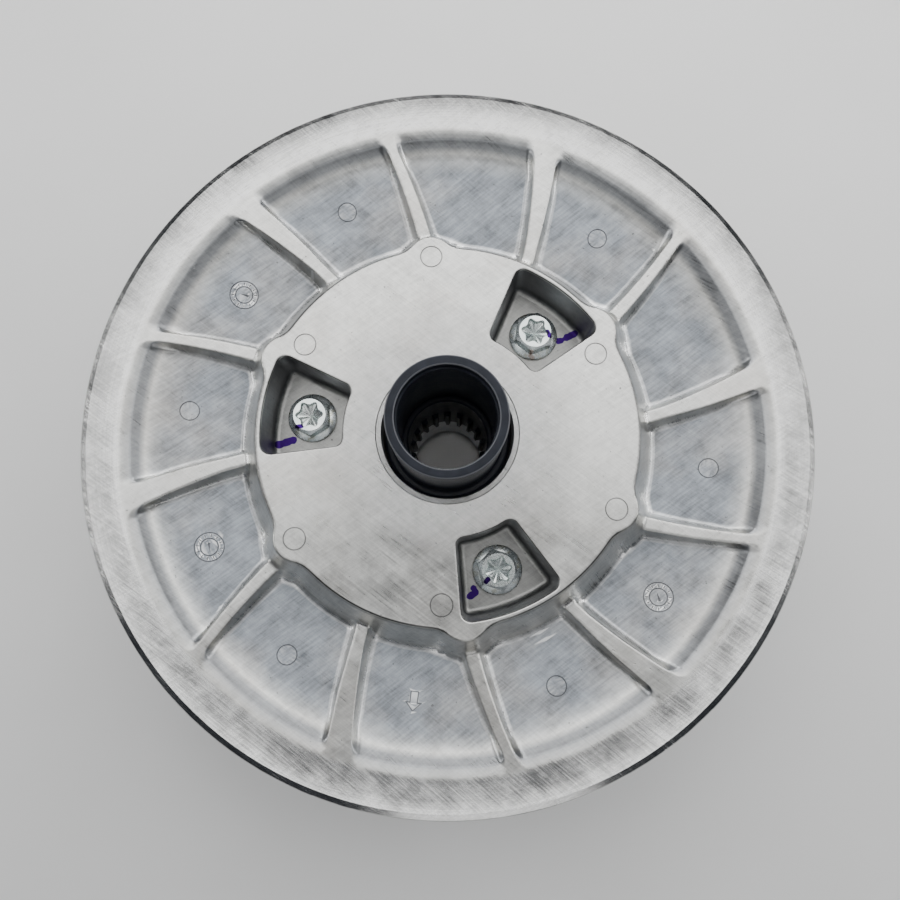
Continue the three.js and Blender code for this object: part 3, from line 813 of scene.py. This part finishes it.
class Look:
    """A node material with the part's own position, in millimetres, as its coordinates."""

    def __init__(self, name, metallic=1.0):
        self.material = bpy.data.materials.new(name)
        self.material.use_nodes = True
        self.tree = self.material.node_tree
        self.shader = self.tree.nodes["Principled BSDF"]
        self.shader.inputs["Metallic"].default_value = metallic
        place = self.node("ShaderNodeTexCoord").outputs["Object"]
        self.position = self.vector("MULTIPLY", place, (1000, 1000, 1000))
        self.z = self.node("ShaderNodeSeparateXYZ", [self.position]).outputs[2]
        self.flat = self.vector("MULTIPLY", self.position, (1, 1, 0))
        self.radius = self.vector("LENGTH", self.flat)
        self.around = self.vector("NORMALIZE", self.flat)
        normal = self.node("ShaderNodeNewGeometry").outputs["Normal"]
        self.normal_z = self.node("ShaderNodeSeparateXYZ", [normal]).outputs[2]

    def node(self, kind, inputs=(), **settings):
        node = self.tree.nodes.new(kind)
        for key, value in settings.items():
            setattr(node, key, value)
        for socket, value in zip(node.inputs, inputs):
            self.put(socket, value)
        return node

    def put(self, socket, value):
        if isinstance(value, bpy.types.NodeSocket):
            self.tree.links.new(value, socket)
        elif value is not None:
            socket.default_value = value

    def vector(self, operation, a, b=None):
        node = self.node("ShaderNodeVectorMath", [a, b], operation=operation)
        scalar = operation in ("LENGTH", "DOT_PRODUCT")
        return node.outputs["Value" if scalar else "Vector"]

    def math(self, operation, first, *others):
        for other in others:
            first = self.node("ShaderNodeMath", [first, other], operation=operation).outputs[0]
        return first

    def plus(self, *values):
        return self.math("ADD", *values)

    def minus(self, *values):
        return self.math("SUBTRACT", *values)

    def times(self, *values):
        return self.math("MULTIPLY", *values)

    def larger(self, *values):
        return self.math("MAXIMUM", *values)

    def span(self, value, start, end, low=0.0, high=1.0):
        return self.node("ShaderNodeMapRange", [value, start, end, low, high]).outputs[0]

    def band(self, value, start, full, fading, end):
        """A mask that rises from start to full and falls again from fading to end."""
        return self.times(self.span(value, start, full), self.span(value, end, fading))

    def swing(self, noise, amount, reach=0.2):
        """Spread the middle of a noise's range from -amount to amount."""
        return self.span(noise, 0.5 - reach, 0.5 + reach, -amount, amount)

    def noise(self, scale, detail=2.0, vector=None, stretch=(1, 1, 1)):
        place = self.vector("MULTIPLY", vector or self.position, stretch)
        return self.node("ShaderNodeTexNoise", [place, None, scale, detail]).outputs[0]

    def mix(self, share, a, b, blend="MIX"):
        node = self.node("ShaderNodeMix", data_type="RGBA", blend_type=blend)
        for index, value in ((0, share), (6, a), (7, b)):
            self.put(node.inputs[index], value)
        return node.outputs[2]

    def streaks(self, degrees, across, along, detail=3.0):
        """Straight brush marks in one direction."""
        inputs = [self.position, None, None, math.radians(degrees)]
        place = self.node("ShaderNodeVectorRotate", inputs, rotation_type="Z_AXIS").outputs[0]
        return self.noise(1.0, detail, place, (along, across, along))

    def rings(self, across, along):
        """Marks that run round the axis, as turning leaves them."""
        slow = self.vector("MULTIPLY", self.around, (along, along, 0))
        outward = self.times(self.radius, across)
        fast = self.node("ShaderNodeCombineXYZ", [0.0, 0.0, outward]).outputs[0]
        return self.noise(1.0, 3.0, self.vector("ADD", slow, fast))

    def stroke(self, start, end, half_width):
        """A brush stroke's mask between two points (x, y)."""
        length = math.dist(start, end)
        along = ((end[0] - start[0]) / length, (end[1] - start[1]) / length, 0)
        offset = self.vector("SUBTRACT", self.flat, (*start, 0))
        share = self.larger(self.vector("DOT_PRODUCT", offset, along), 0.0)
        share = self.math("MINIMUM", share, length)
        centre = self.node("ShaderNodeVectorMath", [along, None, None, share], operation="SCALE")
        distance = self.vector("LENGTH", self.vector("SUBTRACT", offset, centre.outputs["Vector"]))
        ragged = self.plus(distance, self.span(self.noise(0.55, 1.0), 0, 1, -0.4, 0.4))
        return self.span(ragged, half_width, half_width - 0.2)

    def tinted(self, colour, *tints):
        """Lay tints over a colour, each a mask, its strength and its own colour."""
        for mask, strength, tint in tints:
            colour = self.mix(self.times(mask, strength), colour, tint)
        return colour

    def painted(self, colour, where, strokes):
        """Torque paint: strokes of start, end and half width."""
        return self.tinted(colour, *[(self.stroke(*stroke), where, PAINT) for stroke in strokes])

    def bump(self, height, distance, normal=None):
        """Relief: distance is in millimetres."""
        node = self.node("ShaderNodeBump")
        node.inputs["Distance"].default_value = distance * MM
        self.put(node.inputs["Height"], height)
        self.put(node.inputs["Normal"], normal)
        return node.outputs[0]

    def finish(self, colour, roughness, normal):
        for name, value in (("Base Color", colour), ("Roughness", roughness), ("Normal", normal)):
            self.put(self.shader.inputs[name], value)
        return self.material


def cast_aluminium():
    """Blasted and brushed casting: pale plate and ribs, bluer cell floors, a turned rim and belt face."""
    look = Look("cast_aluminium")
    radius, z, normal_z = look.radius, look.z, look.normal_z
    broad = look.noise(0.035, 4.0)
    patches = look.noise(0.12, 3.0)
    brushed = look.streaks(38, 1.9, 0.07)
    crossed = look.streaks(-32, 1.4, 0.09)
    cell_marks = look.streaks(-36, 1.1, 0.12, 4.0)
    grain = look.noise(2.6, 2.0)
    mottle = look.noise(0.42, 3.0)
    turned_marks = look.rings(3.2, 2.4)

    # where each area lies
    above_plate = look.minus(z, PLATE_Z)
    on_plate = look.times(look.span(radius, 73, 68), look.span(above_plate, -2, -0.5))
    on_rim = look.span(radius, 116.5, 118.5)
    in_cell = look.band(radius, 68.5, 71, 109.5, 112)
    above_floor = look.minus(z, look.times(radius, FACE_SLOPE), fixed_face_z(0) + FLOOR_THICKNESS)
    on_floor = look.times(in_cell, look.span(above_floor, 1.215, 0.115))
    # painted shade on the steeper parts of the cells' outer walls
    outer_wall_shade = look.times(look.band(radius, 109.5, 111.5, 116.2, 117.4), look.span(normal_z, 0.97, 0.88))
    in_pocket = look.times(
        look.band(radius, 34, 35.5, 66.5, 68), look.span(above_plate, -0.5, -1.2),
        look.span(normal_z, -0.3, -0.1))
    belt_face = look.span(normal_z, -0.4, -0.7)
    upward = look.span(normal_z, 0.05, 0.4)
    pointed = look.node("ShaderNodeNewGeometry").outputs["Pointiness"]
    # painted highlight: near-white lines along the concave creases where the ribs meet the cell floors
    crease_highlight = look.times(look.span(pointed, 0.493, 0.474), in_cell, look.span(above_floor, -0.065, 0.015))
    # painted shade inside the sunk marks on the cell floors and on the plate
    cell_mark_shade = look.times(look.span(above_floor, -0.065, -0.165), in_cell)
    plate_mark_shade = look.times(
        look.band(above_plate, -0.5, -0.4, -0.14, -0.04), look.band(radius, 26, 27, 68, 69))

    # the base colour of each area, with painted shade near the hub, on the cells' outer walls, in the
    # pockets and in the sunk marks, and painted highlights along the cells' creases
    pale, blue_grey, warm = rgb(0.68, 0.68, 0.655), rgb(0.31, 0.335, 0.365), rgb(0.52, 0.49, 0.45)
    colour = look.mix(on_floor, pale, blue_grey)
    colour = look.mix(look.span(broad, 0.45, 0.75, 0, 0.55), colour, warm)
    # painted shade: the plate darkens towards the black hub standing on it
    hub_shade = look.times(on_plate, look.span(radius, 50, 25))
    # painted shade in the pockets: dark walls and a floor darker than the plate
    pocket_floor = look.span(normal_z, 0.45, 0.85)
    pocket_shade_colour = look.mix(pocket_floor, rgb(0.24, 0.245, 0.26), rgb(0.40, 0.40, 0.385))
    colour = look.tinted(
        colour, (on_rim, 0.8, rgb(0.76, 0.76, 0.75)), (hub_shade, 0.62, rgb(0.34, 0.345, 0.35)),
        (crease_highlight, 1.0, rgb(0.97, 0.97, 0.96)), (outer_wall_shade, 0.7, rgb(0.20, 0.215, 0.24)),
        (in_pocket, 1.0, pocket_shade_colour),
        (look.larger(cell_mark_shade, plate_mark_shade), 0.7, rgb(0.09, 0.09, 0.095)))

    # brush marks, blotches and grain make it lighter and darker
    brush_tone = look.plus(look.swing(brushed, 0.12, 0.25), look.swing(crossed, 0.07))
    cell_tone = look.plus(look.swing(cell_marks, 0.16), look.swing(patches, 0.14))
    tone = look.plus(
        look.times(brush_tone, upward), look.swing(patches, 0.11), look.swing(grain, 0.08, 0.3),
        look.swing(mottle, 0.07), look.times(on_floor, cell_tone),
        look.times(on_rim, look.swing(turned_marks, 0.07)), 0.93)
    tone_colour = look.node("ShaderNodeCombineColor", [tone] * 3).outputs[0]
    colour = look.mix(1.0, colour, tone_colour, "MULTIPLY")

    # small pits, painted highlights on the convex edges in the cells and dabs of torque paint on the bolts'
    # seats
    pits = look.times(look.span(look.noise(0.85, 1.0), 0.74, 0.80), look.minus(1.0, on_rim))
    # painted highlight along the cells' convex edges
    edge = look.times(look.span(pointed, 0.53, 0.60), in_cell)
    colour = look.tinted(
        colour, (pits, 0.6, rgb(0.12, 0.12, 0.12)), (edge, 0.6, rgb(0.95, 0.95, 0.94)))
    on_seat = look.span(z, BOLT_SEAT_Z + 1.4, BOLT_SEAT_Z + 0.9)
    colour = look.painted(colour, on_seat, (
        ((41.9, 37.2), (42.9, 37.3), 1.3), ((42.9, 37.3), (45.2, 38.5), 0.8),
        ((45.2, 38.5), (48.3, 39.8), 1.35), ((-62.5, -1.0), (-57.2, 0.7), 1.5),
        ((7.4, -57.0), (9.3, -55.5), 1.35), ((9.3, -55.5), (8.6, -54.2), 1.2),
    ))

    rough = look.plus(look.span(patches, 0.3, 0.7, 0.29, 0.38), look.swing(brushed, 0.05))
    rough = look.minus(
        rough, look.times(belt_face, 0.10), look.times(on_rim, 0.12), look.times(crease_highlight, 0.10))
    rough = look.plus(rough, look.times(look.larger(pits, on_floor, in_pocket), 0.12))

    brushed_share = look.minus(upward, look.times(on_rim, 0.82))
    relief = look.bump(look.times(brushed, brushed_share), 0.014)
    relief = look.bump(look.times(turned_marks, look.larger(on_rim, belt_face)), 0.006, relief)
    smooth = look.times(look.larger(on_plate, on_rim), 0.85)
    relief = look.bump(look.times(grain, look.minus(1.0, smooth)), 0.014, relief)
    relief = look.bump(look.times(pits, -1.0), 0.08, relief)
    return look.finish(colour, rough, relief)


def turned_aluminium():
    """Belt face turned bright, back left as cast."""
    look = Look("turned_aluminium")
    face = look.span(look.normal_z, 0.5, 0.8)
    marks = look.rings(3.0, 1.6)
    grain = look.noise(1.6, 3.0)
    patches = look.noise(0.08, 3.0)
    colour = look.mix(face, rgb(0.60, 0.61, 0.62), rgb(0.80, 0.80, 0.79))
    colour = look.mix(look.span(patches, 0.4, 0.7, 0, 0.35), colour, rgb(0.52, 0.52, 0.52))
    rough = look.minus(look.span(grain, 0.3, 0.7, 0.44, 0.56), look.times(face, 0.22))
    relief = look.bump(look.times(marks, face), 0.035)
    relief = look.bump(look.times(grain, look.minus(1.0, face)), 0.08, relief)
    return look.finish(colour, rough, relief)


def plain_metal(name, low, high, rough_low, rough_high, grain_scale=1.8, relief_mm=0.02, metallic=1.0):
    """A worked metal: mottled colour between two tones, fine turning marks, grain and uneven gloss."""
    look = Look(name, metallic)
    patches = look.noise(0.22, 3.0)
    grain = look.noise(grain_scale, 3.0)
    marks = look.noise(1.0, 2.0, stretch=(0.25, 0.25, 3.0))
    colour = look.mix(look.span(patches, 0.3, 0.7), rgb(*low), rgb(*high))
    rough = look.span(look.plus(patches, grain), 0.7, 1.3, rough_low, rough_high)
    relief = look.bump(grain, relief_mm)
    relief = look.bump(marks, relief_mm, relief)
    return look, colour, rough, relief


def zinc_steel():
    """Bright zinc with teal and yellow tints, stained flanges, painted shade on the steep sides and a dab
    of torque paint on each head.
    """
    look, colour, rough, relief = plain_metal(
        "zinc_steel", (0.88, 0.91, 0.89), (0.72, 0.81, 0.80), 0.20, 0.32, relief_mm=0.004)
    low_down = look.span(look.z, BOLT_SEAT_Z + 3.2, BOLT_SEAT_Z + 2.2, 0.1, 0.6)
    stains = look.span(look.noise(0.5, 4.0), 0.50, 0.66)
    # painted shade on the steep sides of the heads and flanges
    side_shade = look.span(look.normal_z, 0.5, 0.15)
    rust = look.stroke((31.2, 31.4), (32.0, 30.6), 0.9)
    colour = look.tinted(
        colour, (stains, low_down, rgb(0.50, 0.48, 0.32)), (side_shade, 0.45, rgb(0.26, 0.30, 0.28)),
        (rust, 0.5, rgb(0.42, 0.20, 0.09)))
    on_head = look.span(look.z, BOLT_SEAT_Z + 6, BOLT_SEAT_Z + 6.4)
    colour = look.painted(colour, on_head, (
        ((37.2, 38.6), (37.9, 37.0), 0.95), ((-54.4, 4.3), (-52.6, 4.6), 0.9),
        ((13.0, -51.6), (13.6, -50.8), 0.95),
    ))
    return look.finish(colour, rough, relief)


def black_steel():
    """Satin black oxide, a little blue, with a painted highlight on the two edges of the sleeve's top."""
    look, colour, rough, relief = plain_metal(
        "black_steel", (0.013, 0.015, 0.021), (0.022, 0.025, 0.034), 0.34, 0.46, metallic=0.0)
    look.shader.inputs["Specular IOR Level"].default_value = 0.14
    # painted highlight on the inner and outer edges of the sleeve's top
    brim = look.larger(look.span(look.radius, 18.95, 19.2), look.span(look.radius, 16.85, 16.65))
    brim = look.times(brim, look.span(look.z, HUB_TOP_Z - 0.75, HUB_TOP_Z - 0.55))
    colour = look.tinted(colour, (brim, 0.7, rgb(0.17, 0.175, 0.19)))
    return look.finish(colour, rough, relief)


looks = {
    "cast_aluminium": cast_aluminium(),
    "turned_aluminium": turned_aluminium(),
    "black_steel": black_steel(),
    "zinc_steel": zinc_steel(),
}
for name, *settings in (
    ("liner_steel", (0.62, 0.63, 0.65), (0.52, 0.53, 0.56), 0.30, 0.42),
    ("cam_steel", (0.30, 0.31, 0.33), (0.40, 0.41, 0.43), 0.30, 0.46),
    ("pin_steel", (0.60, 0.61, 0.62), (0.70, 0.71, 0.72), 0.22, 0.34),
    ("spring_steel", (0.12, 0.13, 0.16), (0.20, 0.21, 0.24), 0.30, 0.44, 3.0, 0.03),
    ("bronze", (0.60, 0.42, 0.20), (0.46, 0.30, 0.14), 0.34, 0.50, 3.0, 0.03),
    ("roller_polymer", (0.060, 0.062, 0.068), (0.10, 0.10, 0.108), 0.42, 0.58, 1.8, 0.02, 0.0),
):
    look, *surface = plain_metal(name, *settings)
    looks[name] = look.finish(*surface)


# ---- the pieces, each on its body and in place of its CAD node ----
def fit(piece, body, node, slot):
    piece.data.materials.clear()
    piece.data.materials.append(looks[slot])
    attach(piece, body)
    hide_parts(node)


def fit_ring(name, inner, chamfer, body, node, slot):
    """A chamfered ring as wide and as tall as the node it replaces."""
    low, high = box_mm(node)
    fit(chamfered_ring(name, inner, high[0], low[2], high[2], chamfer), body, node, slot)


fit(combine(fixed_sheave_body(), sheave_cuts()), "fixed_side", "fixed_sheave", "cast_aluminium")
fit(hub_body(), "fixed_side", "hub", "black_steel")
fit_ring("bore_liner", 15.0, 0.6, "fixed_side", "pilot_sleeve", "liner_steel")
fit(cam_body(), "fixed_side", "helix_cam", "cam_steel")
fit(key_body(), "fixed_side", "cam_key", "pin_steel")
fit(snap_ring_body(), "fixed_side", "cam_snap_ring", "spring_steel")
fit_ring("spring_seat", 29.6, 0.3, "fixed_side", "lower_spring_seat", "pin_steel")
spring, spring_foot_z, spring_head_z = spring_body()
fit(spring, "fixed_side", "closing_spring", "spring_steel")
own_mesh(spring)
fit_ring("thrust_ring", 31.4, 0.35, "thrust_washer", "spring_thrust_washer", "bronze")
fit(sliding_sheave_body(), "sliding_side", "sliding_sheave", "turned_aluminium")
for node in ("upper_bushing", "lower_bushing"):
    fit_ring("plain_" + node, 21.15, 0.5, "sliding_side", node, "bronze")

for i in range(3):
    station = FIRST_ROLLER + i * 120
    laid = laid_radially(station)
    number = f"_{i + 1}"
    fit(bolt(i), "fixed_side", "sheave_bolt" + number, "zinc_steel")
    fit(roller_body(i, laid), "roller_body" + number, "roller" + number, "roller_polymer")
    bush = chamfered_ring(
        "plain_bush" + number, 3.15, 4.4, ROLLER_INNER, ROLLER_MID + 4.6, 0.25, 48, laid)
    fit(bush, "sliding_side", "roller_bush" + number, "bronze")
    fit(pin_body(i, laid), "sliding_side", "roller_pin" + number, "pin_steel")
    fit(clip_body(i, laid), "sliding_side", "roller_clip" + number, "spring_steel")
    fit(bracket_body(i, station), "sliding_side", "roller_bracket" + number, "cam_steel")
    for side, screw in ((-1, 2 * i), (1, 2 * i + 1)):
        fit(hanger_screw(screw, station, side), "sliding_side", f"bracket_screw_{screw + 1}", "black_steel")


# ---- floor, light and world ----
PANEL_Z = 0.52  # metres above the floor


def make_floor():
    """A wide pale table with a faint grain."""
    half = 3000
    table = new_object("table", flat_ring(rectangle(-half, half, -half, half), 0), [(0, 1, 2, 3)])
    look = Look("table", metallic=0.0)
    grain = look.noise(0.4, 3.0)
    patches = look.span(look.noise(0.01, 3.0), 0.3, 0.7)
    colour = look.mix(patches, rgb(0.84, 0.84, 0.83), rgb(0.88, 0.88, 0.875))
    table.data.materials.append(look.finish(colour, 0.7, look.bump(grain, 0.02)))


def new_light(name, kind, place, watts):
    data = bpy.data.lights.new(name, kind)
    data.energy = watts
    light = bpy.data.objects.new(name, data)
    light.location = place
    collection.objects.link(light)
    return light


def soft_light(name, place, target, width, depth, watts):
    light = new_light(name, "AREA", place, watts)
    light.data.shape = "RECTANGLE"
    light.data.size, light.data.size_y = width, depth
    back = (Vector(place) - Vector(target)).normalized()
    right = Vector((0, 1, 0)).cross(back).normalized()
    light.rotation_euler = Matrix((right, back.cross(right), back)).transposed().to_euler()


def panel(side, left, right, near, far, radiance):
    """One of the panels overhead, which leave a dark window where the photo's camera was."""
    width, depth = right - left, far - near
    place = ((left + right) / 2, (near + far) / 2, PANEL_Z)
    soft_light("panel_" + side, place, (*place[:2], 0), width, depth, radiance * math.pi * width * depth)


def bore_spot(radius, distance, watts):
    """A narrow beam straight down the bore."""
    light = new_light("bore_spot", "SPOT", (0, 0, distance + HUB_TOP_Z * MM), watts)
    light.data.spot_size = 2 * math.atan(radius / distance)
    light.data.spot_blend = 0.4
    light.data.shadow_soft_size = 0.03


def make_world():
    """Studio surroundings: bright above, darker towards the horizon."""
    world = bpy.data.worlds.new("studio")
    bpy.context.scene.world = world
    world.use_nodes = True
    nodes, links = world.node_tree.nodes, world.node_tree.links
    direction = nodes.new("ShaderNodeTexCoord").outputs["Generated"]
    split = nodes.new("ShaderNodeSeparateXYZ")
    links.new(direction, split.inputs[0])
    fade = nodes.new("ShaderNodeValToRGB")
    dark, bright = fade.color_ramp.elements
    dark.position, dark.color = 0.35, rgb(0.03, 0.033, 0.04)
    bright.position, bright.color = 0.95, rgb(0.20, 0.205, 0.215)
    links.new(split.outputs[2], fade.inputs[0])
    links.new(fade.outputs[0], nodes["Background"].inputs[0])
    nodes["Background"].inputs[1].default_value = 0.9


make_floor()
make_world()
middle = (0, 0, RIM_TOP_Z * MM)
for side, (left, right), (near, far), radiance in (
    ("back", (-0.34, 0.48), (0.068, 0.74), 2.2), ("front", (-0.34, 0.40), (-0.40, -0.13), 0.8),
    ("left", (-0.34, -0.075), (-0.02, 0.068), 2.3), ("right", (0.07, 0.44), (-0.02, 0.068), 2.1),
):
    panel(side, left, right, near, far, radiance)
soft_light("back_strip", (0.0, 0.95, 0.50), middle, 1.0, 0.12, 4.0)
soft_light("right_strip", (0.95, 0.15, 0.48), middle, 0.12, 0.8, 3.5)
soft_light("left_strip", (-0.95, 0.15, 0.48), middle, 0.12, 0.8, 3.0)
soft_light("front_fill", (0.1, -0.85, 0.35), middle, 0.5, 0.3, 0.6)
bore_spot(0.015, 0.8, 9)
